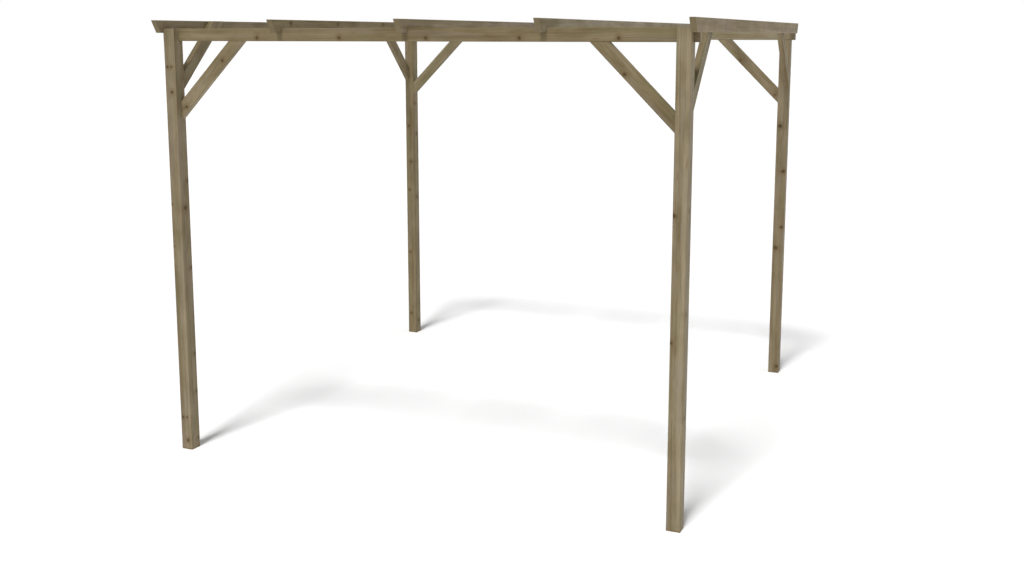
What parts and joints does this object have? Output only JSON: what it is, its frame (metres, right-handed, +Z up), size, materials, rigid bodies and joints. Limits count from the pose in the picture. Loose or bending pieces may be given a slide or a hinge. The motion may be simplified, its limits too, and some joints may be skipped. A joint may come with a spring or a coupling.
{
  "type": "timber carport frame",
  "caption": "Open softwood carport frame: square posts, lapped beams, notched rafters with raked ends and mitred corner braces, free-standing, with no roof covering.",
  "frame": {"origin": "on the ground, at the middle of the plan", "axes": "+X right along the beams as seen from the front, -Y towards the front, +Z up"},
  "size_m": [3, 3, 2.444],
  "materials": {
    "post_timber": "planed pressure-treated pine, matt greenish brown",
    "beam_timber": "planed pressure-treated pine, matt greenish brown",
    "rafter_timber": "sawn pressure-treated pine, matt grey brown",
    "brace_timber": "planed pressure-treated pine, matt greenish brown"
  },
  "bodies": {
    "root": {"front_left_post": "post_timber", "front_right_post": "post_timber", "back_left_post": "post_timber", "back_right_post": "post_timber", "front_beam": "beam_timber", "back_beam": "beam_timber", "rafter_1": "rafter_timber", "rafter_2": "rafter_timber", "rafter_3": "rafter_timber", "rafter_4": "rafter_timber", "rafter_5": "rafter_timber", "front_left_beam_brace": "brace_timber", "front_right_beam_brace": "brace_timber", "back_left_beam_brace": "brace_timber", "back_right_beam_brace": "brace_timber", "front_left_rafter_brace": "brace_timber", "front_right_rafter_brace": "brace_timber", "back_left_rafter_brace": "brace_timber", "back_right_rafter_brace": "brace_timber"}
  },
  "joints": []
}
